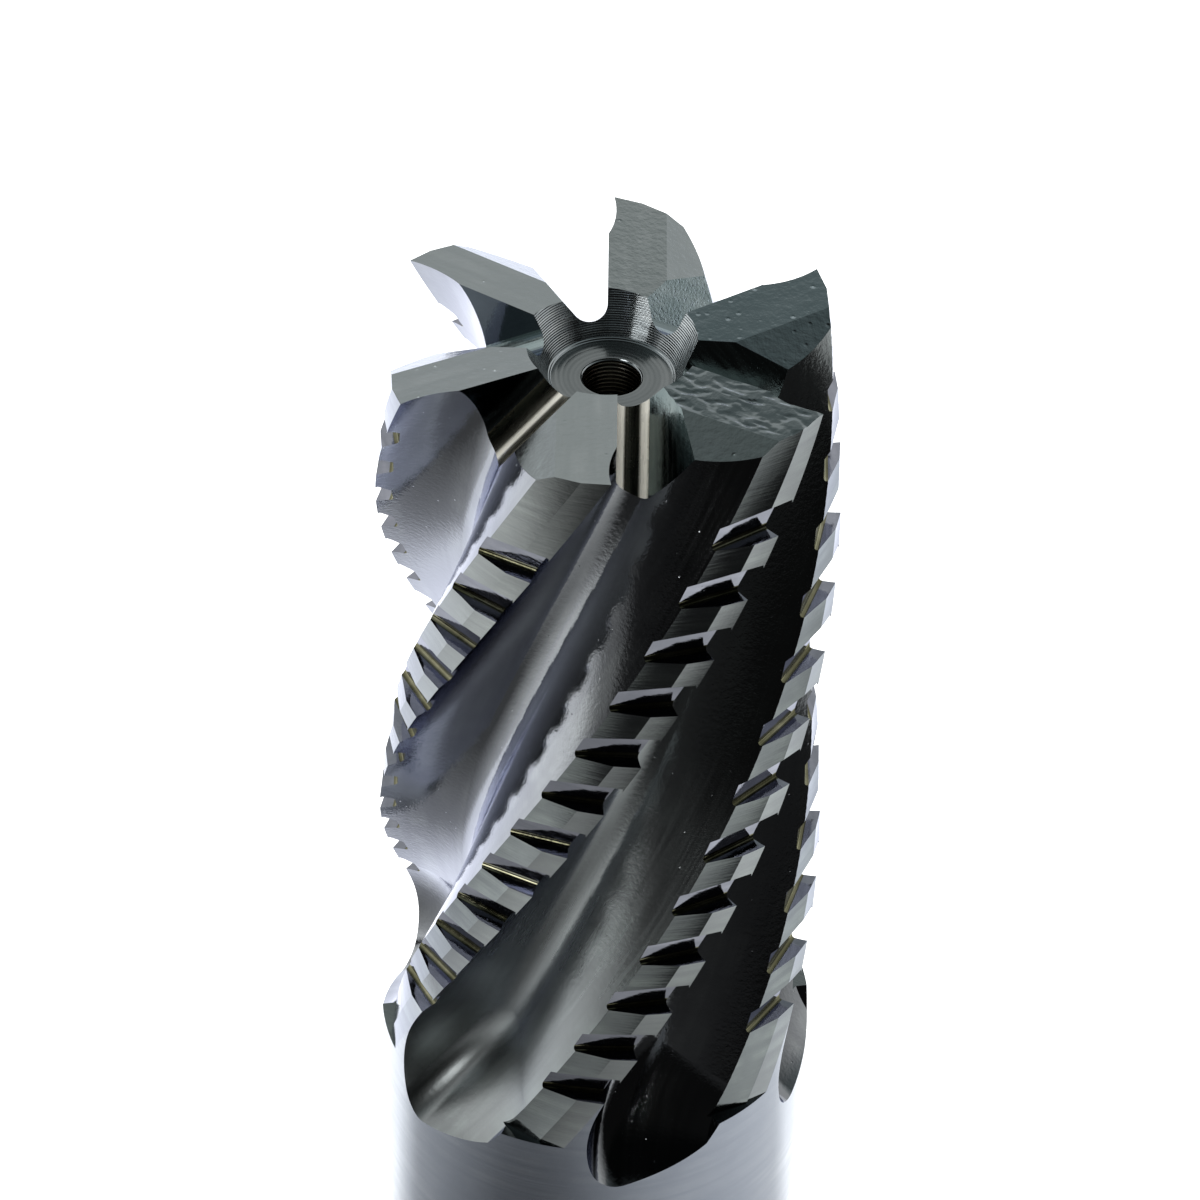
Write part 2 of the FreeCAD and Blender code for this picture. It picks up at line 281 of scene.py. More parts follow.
# a cut face is marked with its surface number, plus this for every tooth before its own
tooth_mark = 50


def values_of(items, field, width=1, kind=np.int32):
    """Array of one property of all the vertices, corners or faces of a mesh."""
    values = np.empty(len(items) * width, dtype=kind)
    items.foreach_get(field, values)
    return values


def combine(target, tool, operation):
    """Cuts one closed mesh with another. New faces keep the surface numbers of the mesh they come from."""
    modifier = target.modifiers.new("cut", "BOOLEAN")
    modifier.operation = operation
    modifier.solver = "MANIFOLD"
    modifier.material_mode = "INDEX"
    modifier.object = tool
    evaluated = target.evaluated_get(bpy.context.evaluated_depsgraph_get())
    result = bpy.data.meshes.new_from_object(evaluated)
    target.modifiers.clear()
    target.data = result
    bpy.data.objects.remove(tool)


def cut(cutter, tooth):
    """Takes a cutter away from the steel. The new faces also carry the number of the tooth."""
    numbers = values_of(cutter.data.polygons, "material_index")
    cutter.data.polygons.foreach_set("material_index", numbers + tooth_mark * tooth)
    combine(steel, cutter, "DIFFERENCE")


def cut_every_tooth(name, rows, row_kinds):
    """Cuts a cutter of rows at each tooth. The rows are given as for the tooth on +Y."""
    for tooth in range(tooth_count):
        cut(tube(name, turned(rows, -tooth_step * tooth), row_kinds), tooth)


cut_every_tooth("flute", flute_rows, flute_row_kinds)

# Lands. Two narrow strips are ground behind each cutting edge, the second one falling away more steeply,
# so that only the edge itself meets the work.
primary_width = 1.84
primary_angle = math.radians(12)
secondary_angle = math.radians(27)
land_length = 61.9
lower_steps = 16
strip_edge = np.array([primary_width, cutting_radius - primary_width * math.tan(primary_angle)])
ahead = tip + np.array([-clear, clear * math.tan(primary_angle)])
past_heel = heel + np.array([clear, -clear * math.tan(secondary_angle)])
land_outline = np.array([ahead, tip, strip_edge, past_heel, outside(past_heel), outside(ahead)])
land_kinds = ["blank", "primary", "secondary", "blank", "blank", "blank"]
lower_heights = np.linspace(level_end, tip_height - land_length, lower_steps + 1)[1:]
land_rows = [
    on_helix(land_outline, np.full(len(land_outline), height))
    for height in [*heights, *lower_heights]
]
cut_every_tooth("land", land_rows, [land_kinds] * (len(land_rows) - 1))

# End faces. Each tooth's end is ground on the flat, nearly level behind its edge and steeper further back,
# and all six dip a little towards the middle. The face of one tooth is uneven, as if its coating had peeled.
edge_lead = 0.35
end_land_width = 3.65
end_dish = math.radians(2.6)
end_slope = math.tan(math.radians(6))
end_back_slope = math.tan(math.radians(30))
start_line = -edge_lead - clear
overlap = 0.5
head_room = 6.0
reach = 40.0
drop = end_land_width * end_slope
peeled_tooth = 2
peel_depth = 0.075
peel_fade = 0.4
peel_steps = 44
peel_stations = [0.0, *np.arange(2.0, 17.0, 0.12), reach]


def prism(name, outline, kinds, path, length):
    """Straight cutter: an outline in space drawn out along a path."""
    outline = np.asarray(outline, float)
    rows = np.stack([outline, outline + np.asarray(path, float) * length])
    return tube(name, rows, [kinds])


def cut_at_tooth(cutter, tooth):
    """Cuts with a cutter that is made as for the tooth on +Y, turned to the given tooth."""
    cutter.data.transform(Matrix.Rotation(-tooth_step * tooth, 4, "Z"))
    cut(cutter, tooth)


def peel(across, along):
    """Depth of the uneven end face of one tooth, always below its ground plane."""
    drift = 0.5 * noise.noise(Vector((across * 0.6, along * 0.5, 1.7)))
    dents = noise.noise(Vector(((across + drift) * 1.9, (along + drift) * 0.95, 7.3)))
    ripple = noise.noise(Vector((across * 3.4, along * 1.8, 2.1)))
    level = min(1.0, max(0.0, 0.30 + 1.5 * dents + 0.35 * ripple))
    wave = level * level * (3 - 2 * level)
    fade = min(1.0, max(0.0, (end_land_width - across) / peel_fade))
    return peel_depth * wave * fade


def end_grind(tooth):
    """Cutter for the end face of one tooth, which stops where the face of the next tooth starts."""
    peeled = tooth == peeled_tooth
    stations = peel_stations if peeled else [0.0, reach]
    steps = peel_steps if peeled else 1
    face_kind = "peeled end" if peeled else "end primary"
    corners = [
        (end_land_width, -drop, "end secondary"),
        (reach, -drop - (reach - end_land_width) * end_back_slope, "blank"),
        (reach, head_room, "blank"),
        (start_line, head_room, "blank"),
    ]
    face_line = np.linspace(start_line, end_land_width, steps + 1)[:-1]
    rows = []
    for along in stations:
        row = []
        for across in face_line:
            depth = peel(across, along) if peeled else 0.0
            row.append((across, along, -across * end_slope - depth))
        row += [(across, along, height) for across, height, _ in corners]
        rows.append(row)
    kinds = [face_kind] * steps + [kind for _, _, kind in corners]
    cutter = tube("end_grind", rows, [kinds] * (len(rows) - 1))
    shift = Matrix.Translation((0, mm * cutting_radius, 0))
    cutter.data.transform(shift @ Matrix.Rotation(end_dish, 4, "X") @ shift.inverted())
    next_edge = turned([0.0, 1.0], -tooth_step)
    next_start = turned([start_line - overlap, 0.0], -tooth_step)
    corner_along = (next_start @ next_start - start_line * next_start[0]) / next_start[1]
    corner = np.array([start_line, corner_along])
    bounds = [corner, corner + next_edge * reach, np.array([start_line, 2 * reach])]
    wedge = prism("wedge", [(*point, -reach) for point in bounds], ["blank"] * 3, (0, 0, 1), 2 * reach)
    combine(cutter, wedge, "INTERSECT")
    cutter.data.transform(Matrix.Translation((0, 0, mm * tip_height)))
    return cutter


for tooth in range(tooth_count):
    cut_at_tooth(end_grind(tooth), tooth)

# Gashes. A thin wheel cuts a round-bottomed slot beside each end edge, from the recess out into the flute,
# to make room for the chips that the end edges cut.
gash_radius = 1.25
gash_angle = math.radians(36)
wall_angle = math.radians(47)
gash_start = (0.0, 3.0, tip_height - 1.2)
gash_height = 16.0
gash_steps = 18


def gash():
    """Prism of one gash, as for the tooth on +Y, whose straight wall lies along the end edge."""
    centre = np.array([-edge_lead - gash_radius, gash_radius])
    edge_foot = centre + np.array([gash_radius, 0.0])
    wall_foot = centre - np.array([math.sin(wall_angle), math.cos(wall_angle)]) * gash_radius
    rise = gash_height - wall_foot[1]
    corners = [
        (-edge_lead, gash_height),
        *arc(centre, edge_foot, wall_foot, gash_steps),
        tuple(wall_foot),
        (wall_foot[0] - rise / math.tan(wall_angle), gash_height),
    ]
    kinds = ["gash edge wall"] + ["gash floor"] * gash_steps + ["gash wall", "blank"]
    outline = [(across, 0.0, height) for across, height in corners]
    cutter = prism("gash", outline, kinds, (0, 1, 0), reach)
    cutter.data.transform(Matrix.Rotation(-gash_angle, 4, "X"))
    cutter.data.transform(Matrix.Translation(mm * Vector(gash_start)))
    return cutter


for tooth in range(tooth_count):
    cut_at_tooth(gash(), tooth)

# Chip breakers. Level grooves are ground across each land to break the chips up. Their lower flank is
# steep, the upper one slants, and they grow shallower towards the heel. Each tooth's grooves lie a third
# of the pitch below those of the tooth before.
breaker_pitch = 4.24
breaker_depth = 1.15
breaker_root = 1.45
breaker_slope = 1.05
breaker_undercut = 0.07
breaker_relief = math.radians(11)
first_breaker = 6.24
last_breaker = 57.5
groove_height = breaker_depth + 0.9
groove_length = heel[0] + 2 * clear
corner_radius = 0.32
corner_steps = 6


def groove(crest):
    """Prism of one groove, whose steep flank meets the edge at this depth below the tips."""
    steep = breaker_undercut / breaker_depth
    slant = breaker_slope / breaker_depth
    foot = breaker_undercut
    end = foot + breaker_root
    rounding = [
        (foot + corner_radius * (1 - math.sin(angle)), corner_radius * (1 - math.cos(angle)))
        for angle in np.linspace(0.0, math.pi / 2, corner_steps + 1)
    ]
    corners = [
        (end, 0.0),
        *rounding,
        (foot - groove_height * steep, groove_height),
        (end + groove_height * slant, groove_height),
    ]
    kinds = ["groove root"] + ["groove corner"] * corner_steps + ["groove steep", "blank", "groove slant"]
    outline = [(0.0, height, along) for along, height in corners]
    cutter = prism("groove", outline, kinds, (1, 0, 0), groove_length)
    for move in [
        Matrix.Translation((-mm * clear, 0, 0)),
        Matrix.Rotation(-breaker_relief, 4, "Z"),
        Matrix.Translation((0, mm * (cutting_radius - breaker_depth), 0)),
        Matrix.Rotation(-turn_per_mm * (crest - end / 2), 4, "Z"),
        Matrix.Translation((0, 0, mm * (tip_height - crest))),
    ]:
        cutter.data.transform(move)
    return cutter


for tooth in range(tooth_count):
    depth = first_breaker + (tooth - 1) % 3 * breaker_pitch / 3
    while depth < last_breaker:
        cut_at_tooth(groove(depth), tooth)
        depth += breaker_pitch

# Surfaces. A thin dark coating covers the ground faces of the cutting end, and the shank is bare ground
# steel. The mesh takes the exact normals of its turned, helical and wheel-cut surfaces, and a map "grind"
# in millimetres whose first direction runs along the grinding marks of each surface.
mesh = steel.data
mesh.polygons.foreach_set("use_smooth", np.ones(len(mesh.polygons), dtype=bool))
places = values_of(mesh.vertices, "co", 3, float).reshape(-1, 3)
corner_places = places[values_of(mesh.loops, "vertex_index")] / mm
face_sizes = values_of(mesh.polygons, "loop_total")
marks = values_of(mesh.polygons, "material_index")
facing = values_of(mesh.polygons, "normal", 3, float).reshape(-1, 3)
normals = np.repeat(facing, face_sizes, axis=0)
corner_marks = np.repeat(marks, face_sizes)
corner_tooth = corner_marks // tooth_mark
local = turned(corner_places, tooth_step * corner_tooth)
grind = np.stack([local[:, 1], local[:, 0]], -1)


def made_by(*names):
    """Corners of all faces that carry one of these surface names."""
    return np.isin(corner_marks % tooth_mark, [surface(name) for name in names])


def unit(vectors):
    return vectors / np.linalg.norm(vectors, axis=-1, keepdims=True)


# the three arcs of a flute: centre, start, side that faces out, and distance across the flute at the start
centres = {"hook": hook_centre, "root": root_centre, "back": back_centre}
starts = {"hook": tip, "root": hook_end, "back": root_end}
hollow = {"hook": -1, "root": -1, "back": 1}
lead_in = {"hook": 0.0, "root": 12.0, "back": 17.0}
# the two lands: how steeply they fall behind the edge
slopes = {"primary": primary_angle, "secondary": secondary_angle}


def helix_surface(points, name):
    """Normals of a helical surface, and the distance across the flute or land from the cutting edge."""
    angle = (points[:, 2] - tip_height) * turn_per_mm
    flat = turned(points[:, :2], -angle)
    if name in slopes:
        across = np.broadcast_to([math.sin(slopes[name]), math.cos(slopes[name])], flat.shape)
        offset = flat[:, 0]
    else:
        arm = flat - centres[name]
        across = unit(arm) * hollow[name]
        first = math.atan2(*(starts[name] - centres[name])[::-1])
        swing = (np.arctan2(arm[:, 1], arm[:, 0]) - first + math.pi) % (2 * math.pi) - math.pi
        offset = lead_in[name] + np.abs(swing) * np.linalg.norm(arm, axis=1)
    rise = turn_per_mm * (flat[:, 1] * across[:, 0] - flat[:, 0] * across[:, 1])
    return turned(unit(np.column_stack([across, rise])), angle), offset


for name in ("hook", "root", "back", "primary", "secondary"):
    here = made_by(name)
    local_normals, offset = helix_surface(local[here], name)
    normals[here] = turned(local_normals, -tooth_step * corner_tooth[here])
    if name in slopes:
        grind[here] = np.column_stack([offset, local[here, 2]])
    else:
        grind[here] = np.column_stack([(tip_height - local[here, 2]) / math.cos(helix_angle), offset])
for name in ("hook", "root", "back"):
    here = made_by("runout " + name)
    arm = local[here] - wheel_centre
    swing = np.arctan2(-(arm @ along_flute), -(arm @ outwards))
    start = about_wheel(local[here], -swing)
    local_normals, offset = helix_surface(start, name)
    local_normals = unit(local_normals - (local_normals @ along_flute)[:, None] * along_flute)
    local_normals = about_wheel(local_normals + wheel_centre, swing) - wheel_centre
    normals[here] = turned(local_normals, -tooth_step * corner_tooth[here])
    grind[here] = np.column_stack([full_length / math.cos(helix_angle) + swing * runout_radius, offset])
# turned surfaces: a tiny shift keeps points on the axis from having no direction
here = made_by("shank", "shank bevel", "recess cone", "recess rim", "bore", "centre hole")
radial = np.column_stack([unit(corner_places[here, :2] + 1e-9), np.zeros(here.sum())])
level = normals[here, 2:3]
way = np.sign((normals[here] * radial).sum(1, keepdims=True))
normals[here] = radial * np.sqrt(np.clip(1 - level ** 2, 0, 1)) * way
normals[here, 2] = level[:, 0]
# uneven end face: the slope of its relief, found over a small step to either side
here = made_by("peeled end")
tilt = np.array([
    [1, 0, 0],
    [0, math.cos(end_dish), -math.sin(end_dish)],
    [0, math.sin(end_dish), math.cos(end_dish)],
])
small_step = 0.02
relief = []
for across, along, _ in (local[here] - [0.0, cutting_radius, tip_height]) @ tilt:
    along += cutting_radius
    slope_across = (peel(across + small_step, along) - peel(across - small_step, along)) / (2 * small_step)
    slope_along = (peel(across, along + small_step) - peel(across, along - small_step)) / (2 * small_step)
    relief.append((end_slope + slope_across, slope_along, 1.0))
relief = unit(np.array(relief)) @ tilt.T
normals[here] = turned(relief, -tooth_step * corner_tooth[here])
here = made_by("gash edge wall", "gash floor", "gash wall")
grind[here, 0] = local[here, 1] * math.cos(gash_angle) - local[here, 2] * math.sin(gash_angle)
here = made_by("groove root", "groove corner", "groove steep", "groove slant")
flat = turned(local[here], -(local[here, 2] - tip_height) * turn_per_mm)
grind[here] = np.column_stack([flat[:, 0], flat[:, 2] + flat[:, 1]])
mesh.normals_split_custom_set(unit(normals).tolist())
mesh.uv_layers.new(name="grind").uv.foreach_set("vector", grind.ravel())


def add(tree, kind, inputs=None, **settings):
    """Adds a shader node, with its settings, and its inputs from numbers, colours or other nodes."""
    made = tree.nodes.new(kind)
    for name, value in settings.items():
        setattr(made, name, value)
    for name, value in (inputs or {}).items():
        if isinstance(value, bpy.types.NodeSocket):
            tree.links.new(value, made.inputs[name])
        else:
            made.inputs[name].default_value = value
    return made


def calculate(tree, operation, *values):
    """Number that a math node works out."""
    return add(tree, "ShaderNodeMath", dict(enumerate(values)), operation=operation).outputs[0]


def ramp(tree, value, start, end, low=0.0, high=1.0, **settings):
    """Number that goes from low to high as a value goes from start to end."""
    limits = {"From Min": start, "From Max": end, "To Min": low, "To Max": high}
    return add(tree, "ShaderNodeMapRange", {"Value": value, **limits}, **settings).outputs[0]


def clouds(tree, place, scale, detail=2.0, roughness=0.5, **settings):
    """Number that varies with place, from a noise texture."""
    inputs = {"Vector": place, "Scale": scale, "Detail": detail, "Roughness": roughness}
    return add(tree, "ShaderNodeTexNoise", inputs, **settings).outputs[0]


def grind_map(tree):
    """Distances in millimetres along the grinding marks and across them."""
    uv = add(tree, "ShaderNodeUVMap", uv_map="grind").outputs[0]
    return add(tree, "ShaderNodeSeparateXYZ", {0: uv}).outputs


def place_in_mm(tree):
    """Place on the steel in millimetres."""
    place = add(tree, "ShaderNodeTexCoord").outputs["Object"]
    return add(tree, "ShaderNodeVectorMath", {0: place, "Scale": 1 / mm}, operation="SCALE").outputs[0]


def new_group(name, inputs, outputs):
    """Empty shader node group with named number inputs and outputs, and the nodes that stand for them."""
    tree = bpy.data.node_groups.new(name, "ShaderNodeTree")
    for label, value in inputs.items():
        socket = tree.interface.new_socket(name=label, in_out="INPUT", socket_type="NodeSocketFloat")
        socket.default_value = value
    for label in outputs:
        tree.interface.new_socket(name=label, in_out="OUTPUT", socket_type="NodeSocketFloat")
    return tree, tree.nodes.new("NodeGroupInput").outputs, tree.nodes.new("NodeGroupOutput")


# marks left by a wheel, drawn out along the first direction of the grind map
wheel_marks, given, out = new_group("wheel marks", {"Lines": 6.0, "Run": 0.3}, ["Height", "Streaks"])
parts = grind_map(wheel_marks)
along = calculate(wheel_marks, "MULTIPLY", parts[0], given["Run"])
across = calculate(wheel_marks, "MULTIPLY", parts[1], given["Lines"])
spot = add(wheel_marks, "ShaderNodeCombineXYZ", {0: along, 1: across}).outputs[0]
fine = clouds(wheel_marks, spot, 1.0, 3.0, noise_dimensions="2D")
broad = clouds(wheel_marks, spot, 0.23, noise_dimensions="2D")
wheel_marks.links.new(fine, out.inputs["Height"])
wheel_marks.links.new(ramp(wheel_marks, broad, 0.35, 0.65), out.inputs["Streaks"])

# rings left by a lathe or a cylindrical grinder, about the tool's axis
turning_marks, given, out = new_group(
    "turning marks",
    {"Lines": 6.0, "Run": 0.05, "Feed": 0.0},
    ["Height", "Streaks"],
)
place = place_in_mm(turning_marks)
parts = add(turning_marks, "ShaderNodeSeparateXYZ", {0: place}).outputs
level_part = add(turning_marks, "ShaderNodeVectorMath", {0: place, 1: (1, 1, 0)}, operation="MULTIPLY")
radius = add(turning_marks, "ShaderNodeVectorMath", {0: level_part.outputs[0]}, operation="LENGTH")
depth = calculate(turning_marks, "ADD", parts[2], radius.outputs["Value"])
rings = calculate(turning_marks, "MULTIPLY", depth, given["Lines"])
side = calculate(turning_marks, "MULTIPLY", parts[0], given["Run"])
front = calculate(turning_marks, "MULTIPLY", parts[1], given["Run"])
spot = add(turning_marks, "ShaderNodeCombineXYZ", {0: side, 1: front, 2: rings}).outputs[0]
fine = clouds(turning_marks, spot, 1.0, 3.0)
broad = clouds(turning_marks, spot, 0.17)
turn = calculate(turning_marks, "MULTIPLY", rings, 2 * math.pi)
feed = calculate(turning_marks, "MULTIPLY", calculate(turning_marks, "SINE", turn), given["Feed"])
turning_marks.links.new(calculate(turning_marks, "ADD", fine, feed), out.inputs["Height"])
turning_marks.links.new(ramp(turning_marks, broad, 0.35, 0.65), out.inputs["Streaks"])

# skin of the hard coating: an orange-peel swell, scattered dimples with painted glints in their middles, and
# broad stains
coating, given, out = new_group(
    "coating skin",
    {"Swell": 2.5, "Dimples": 1.2, "Dimple size": 0.1, "Dimple depth": 1.0},
    ["Height", "Painted glints", "Stain"],
)
place = place_in_mm(coating)
swell = clouds(coating, place, given["Swell"], 3.0, 0.6)
cells = add(coating, "ShaderNodeTexVoronoi", {"Vector": place, "Scale": given["Dimples"]})
away = cells.outputs["Distance"]
dimple = ramp(coating, away, 0.0, given["Dimple size"], 1.0, 0.0, interpolation_type="SMOOTHSTEP")
sunk = calculate(coating, "MULTIPLY", dimple, given["Dimple depth"])
stain = clouds(coating, place, 0.35, 4.0)
coating.links.new(calculate(coating, "SUBTRACT", swell, sunk), out.inputs["Height"])
# painted glints: a mask of the dimples' middles, where the finish paints a lighter speck in place of a
# highlight
coating.links.new(calculate(coating, "GREATER_THAN", dimple, 0.8), out.inputs["Painted glints"])
coating.links.new(ramp(coating, stain, 0.35, 0.65), out.inputs["Stain"])

micron = 1e-6
# how much lighter than the lighter tone the painted glints are
glint_gain = 1.8
white = (1.0, 1.0, 1.0)
slots = {}
mesh.materials.clear()


def new_material(name):
    """Material, with its node tree and its shader."""
    material = bpy.data.materials.new(name)
    material.use_nodes = True
    return material, material.node_tree, material.node_tree.nodes["Principled BSDF"]


def mix(tree, share, first, second):
    """Colour between two others, each given as a colour or by another node."""
    return add(tree, "ShaderNodeMix", {0: share, 6: first, 7: second}, data_type="RGBA").outputs[2]


def skin(swell, dimples, size, depth):
    """Values for one coating skin."""
    return {"Swell": swell, "Dimples": dimples, "Dimple size": size, "Dimple depth": depth}


def finish(name, tones, rough, group, lines, lines_depth, coat, coat_depth, edge=(0.86, 0.88, 1.0)):
    """One finish of the steel: two tones, a range of roughness, marks and skin with their depths in
    microns, and the tint that it takes where it turns away."""
    material, tree, shader = new_material(name)
    shader.inputs["Metallic"].default_value = 1.0
    shader.inputs["Specular Tint"].default_value = (*edge, 1)
    made = add(tree, "ShaderNodeGroup", lines, node_tree=group).outputs
    coated = add(tree, "ShaderNodeGroup", coat, node_tree=coating).outputs
    share = calculate(tree, "MULTIPLY", made["Streaks"], coated["Stain"])
    tone = mix(tree, share, (*tones[0], 1), (*tones[1], 1))
    # painted glints: a lighter tone in the dimples' middles that stands in for highlights
    glint_tone = [min(1.0, glint_gain * part) for part in tones[1]]
    tree.links.new(mix(tree, coated["Painted glints"], tone, (*glint_tone, 1)), shader.inputs["Base Color"])
    tree.links.new(ramp(tree, made["Height"], 0.3, 0.7, *rough), shader.inputs["Roughness"])
    wave = add(tree, "ShaderNodeBump", {"Height": coated["Height"], "Distance": coat_depth * micron})
    scratch = add(tree, "ShaderNodeBump", {"Height": made["Height"], "Distance": lines_depth * micron})
    tree.links.new(wave.outputs[0], scratch.inputs["Normal"])
    tree.links.new(scratch.outputs[0], shader.inputs["Normal"])
    slots[name] = len(mesh.materials)
    mesh.materials.append(material)


plain = skin(2.0, 0.5, 0.02, 0.5)
flute_skin = skin(3.0, 0.9, 0.08, 1.2)
gash_skin = skin(3.0, 1.2, 0.05, 1.0)
floor_skin = skin(4.0, 2.0, 0.12, 1.0)
groove_skin = skin(2.0, 1.0, 0.06, 1.0)
across_land = {"Lines": 6.0, "Run": 0.35}
along_flute_marks = {"Lines": 3.0, "Run": 0.12}
across_end = {"Lines": 4.0, "Run": 0.5}
along_gash = {"Lines": 5.0, "Run": 0.3}
finish("ground shank", [(0.30, 0.33, 0.38), (0.36, 0.39, 0.435)], (0.14, 0.24),
       turning_marks, {"Lines": 7.0, "Run": 0.06, "Feed": 0.0}, 1.0, plain, 1.0, white)
finish("turned recess", [(0.30, 0.33, 0.34), (0.50, 0.53, 0.53)], (0.08, 0.24),
       turning_marks, {"Lines": 4.5, "Run": 0.02, "Feed": 0.5}, 14.0, plain, 3.0, white)
finish("faced recess floor", [(0.14, 0.155, 0.155), (0.22, 0.235, 0.235)], (0.12, 0.24),
       turning_marks, {"Lines": 3.0, "Run": 0.02, "Feed": 0.25}, 6.0, plain, 3.0, white)
finish("drilled bore", [(0.12, 0.11, 0.09), (0.34, 0.32, 0.28)], (0.15, 0.30),
       turning_marks, {"Lines": 3.0, "Run": 0.02, "Feed": 0.6}, 40.0, plain, 3.0, white)
finish("primary land", [(0.22, 0.235, 0.235), (0.27, 0.295, 0.285)], (0.06, 0.14),
       wheel_marks, across_land, 2.0, plain, 4.0)
finish("secondary land", [(0.15, 0.165, 0.165), (0.21, 0.235, 0.225)], (0.07, 0.16),
       wheel_marks, across_land, 4.0, plain, 4.0)
finish("flute", [(0.21, 0.22, 0.23), (0.27, 0.285, 0.29)], (0.05, 0.11),
       wheel_marks, along_flute_marks, 0.5, flute_skin, 11.0)
finish("hazed flute", [(0.21, 0.225, 0.225), (0.25, 0.275, 0.27)], (0.05, 0.11),
       wheel_marks, along_flute_marks, 0.3, flute_skin, 11.0)
# this flute grows duller with the distance from the tips, along the flute in millimetres
haze_start = 24.0
haze_end = 64.0
most_haze = 0.27
tree = mesh.materials[slots["hazed flute"]].node_tree
shader = tree.nodes["Principled BSDF"]
haze = ramp(tree, grind_map(tree)[0], haze_start, haze_end, 0.0, most_haze)
clear_roughness = shader.inputs["Roughness"].links[0].from_socket
tree.links.new(calculate(tree, "ADD", clear_roughness, haze), shader.inputs["Roughness"])
finish("end face", [(0.21, 0.235, 0.23), (0.24, 0.265, 0.26)], (0.11, 0.18),
       wheel_marks, across_end, 0.5, skin(1.9, 0.6, 0.13, 0.6), 26.0)
finish("even end face", [(0.17, 0.19, 0.185), (0.20, 0.225, 0.22)], (0.14, 0.20),
       wheel_marks, across_end, 0.5, skin(1.9, 0.6, 0.1, 0.6), 10.0)
finish("pitted end face", [(0.17, 0.21, 0.215), (0.21, 0.25, 0.255)], (0.10, 0.17),
       wheel_marks, across_end, 0.8, skin(1.8, 0.95, 0.22, 1.5), 30.0)
finish("peeled end face", [(0.145, 0.17, 0.17), (0.185, 0.21, 0.21)], (0.07, 0.13),
       wheel_marks, across_end, 0.8, skin(3.0, 0.6, 0.03, 0.5), 12.0)
finish("gash", [(0.14, 0.175, 0.175), (0.20, 0.235, 0.23)], (0.10, 0.22),
       wheel_marks, along_gash, 3.0, gash_skin, 8.0)
finish("dark gash", [(0.045, 0.055, 0.065), (0.07, 0.085, 0.095)], (0.08, 0.16),
       wheel_marks, along_gash, 2.0, gash_skin, 4.0)
finish("hazed land", [(0.21, 0.225, 0.22), (0.25, 0.27, 0.26)], (0.17, 0.25),
       wheel_marks, across_land, 2.5, plain, 4.0)
# its sparkle comes partly from bumps and partly from painted glints in its large dimples
finish("sparkling gash", [(0.14, 0.18, 0.18), (0.22, 0.26, 0.26)], (0.08, 0.20),
       wheel_marks, along_gash, 4.0, skin(4.0, 3.0, 0.27, 1.2), 80.0)


def colour_ramp(tree, value, stops):
    """Colour that follows a value through stops, each with its place and its colour."""
    made = add(tree, "ShaderNodeValToRGB", {0: value})
    elements = made.color_ramp.elements
    for spot, _ in stops[2:]:
        elements.new(spot)
    for element, (spot, colour) in zip(elements, stops):
        element.position = spot
        element.color = colour
    return made.outputs[0]


# painted highlight bands along a gash floor: cream bands, not wear, that stand in for bright reflections:
# place from the wall (0) to the edge (1), and how bright
painted_highlight_bands = {
    "gash floor with painted edge highlights": [
        (0.0, 0.3), (0.08, 0.95), (0.24, 0.8), (0.34, 0.0),
        (0.72, 0.0), (0.80, 1.0), (0.98, 0.9), (1.0, 0.3),
    ],
    "gash floor with painted middle highlight": [
        (0.0, 0.0), (0.30, 0.10), (0.44, 0.25), (0.52, 1.0),
        (0.62, 0.9), (0.70, 0.12), (0.90, 0.0), (1.0, 0.0),
    ],
}
highlight_band_width = 2.2
highlight_cream = (1.0, 0.97, 0.86, 1)
for name, bands in painted_highlight_bands.items():
    finish(name, [(0.09, 0.09, 0.07), (0.16, 0.155, 0.12)], (0.22, 0.34),
           wheel_marks, {"Lines": 3.0, "Run": 0.4}, 2.0, floor_skin, 10.0, white)
    tree = mesh.materials[slots[name]].node_tree
    shader = tree.nodes["Principled BSDF"]
    across = ramp(tree, grind_map(tree)[1], -edge_lead - highlight_band_width, -edge_lead)
    highlight_share = colour_ramp(tree, across, [(spot, (level, level, level, 1)) for spot, level in bands])
    steel_tone = shader.inputs["Base Color"].links[0].from_socket
    tree.links.new(mix(tree, highlight_share, steel_tone, highlight_cream), shader.inputs["Base Color"])
    # where the painted highlight lies, the steel turns matt, so the lamps light the cream band
    tree.links.new(ramp(tree, highlight_share, 0.0, 1.0, 1.0, 0.0), shader.inputs["Metallic"])
finish("chip groove", [(0.22, 0.23, 0.26), (0.31, 0.32, 0.36)], (0.05, 0.12),
       wheel_marks, {"Lines": 5.0, "Run": 0.5}, 3.0, groove_skin, 5.0)
# groove corners: painted shade and painted glints. The dark olive tones and the yellowish tint where they
# turn away stand in for the shaded crease and the yellow glints along it
finish("groove corner", [(0.09, 0.088, 0.05), (0.24, 0.235, 0.16)], (0.08, 0.20),
       wheel_marks, {"Lines": 2.0, "Run": 1.2}, 12.0, groove_skin, 5.0, (1.0, 1.0, 0.9))

